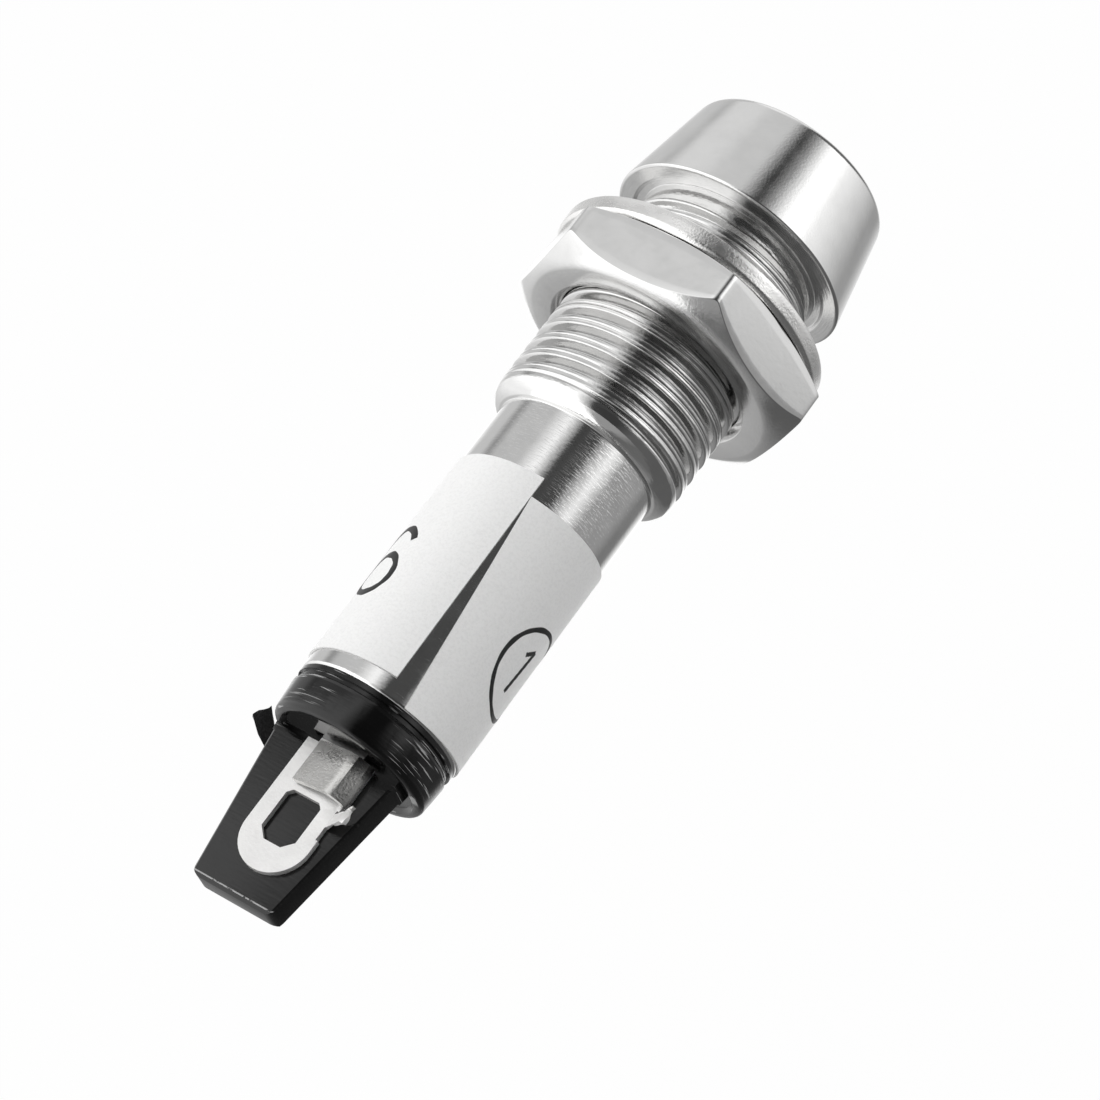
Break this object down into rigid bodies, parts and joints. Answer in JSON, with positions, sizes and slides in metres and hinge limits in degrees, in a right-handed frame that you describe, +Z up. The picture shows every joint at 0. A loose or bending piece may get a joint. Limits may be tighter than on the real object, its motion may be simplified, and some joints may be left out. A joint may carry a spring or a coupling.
{
  "type": "panel pilot light",
  "caption": "Panel pilot light with a tapered metal bezel, a threaded barrel with nut and washer, a labelled tube and a black tongue carrying solder lugs.",
  "frame": {"origin": "centre of the head's rear face, the plane that meets the front of the panel", "axes": "+Y along the light's axis from the lens towards the solder lugs, +Z up and square to the tongue's flat faces, +X completes the right-handed frame"},
  "size_m": [0.016, 0.0449, 0.0148],
  "materials": {
    "plated_body": "bright nickel plate",
    "nut_metal": "bright nickel plate",
    "washer_metal": "tumbled nickel plate",
    "red_lens": "clear red, polished",
    "lamp_resin": "clear red resin",
    "tinned_wire": "tinned",
    "holder_plastic": "moulded, matt",
    "resistor_coat": "dipped coat",
    "sleeve_plastic": "shrunk sleeve",
    "solder": "bright solder",
    "base_plastic": "moulded, glossy",
    "tinned_lug": "hot-dip tin",
    "label_paper": "coated paper"
  },
  "bodies": {
    "light": {"body_shell": "plated_body", "lens": "red_lens", "led_bulb": "lamp_resin", "led_lead_anode": "tinned_wire", "led_lead_cathode": "tinned_wire", "lamp_holder": "holder_plastic", "resistor_body": "resistor_coat", "resistor_wire_front": "tinned_wire", "resistor_wire_rear": "tinned_wire", "resistor_sleeve": "sleeve_plastic", "lead_sleeve": "sleeve_plastic", "solder_resistor": "solder", "solder_positive": "solder", "solder_negative": "solder", "terminal_base": "base_plastic", "terminal_positive": "tinned_lug", "terminal_negative": "tinned_lug", "wrap_label": "label_paper"},
    "washer": {"flat_washer": "washer_metal"},
    "nut": {"hex_nut": "nut_metal"}
  },
  "joints": [
    {"name": "nut_travel", "type": "slide", "parent": "light", "child": "washer", "axis": [0, 1, 0], "range_m": [-0.00305, 0.0049]},
    {"name": "nut_turn", "type": "hinge", "parent": "washer", "child": "nut", "pos_m": [0, 0.00557, 0], "axis": [0, 1, 0], "range_deg": [-1099, 1765]}
  ],
  "couplings": [
    {"joint": "nut_turn", "follows": "nut_travel", "rad_per_m": 6283.2}
  ]
}
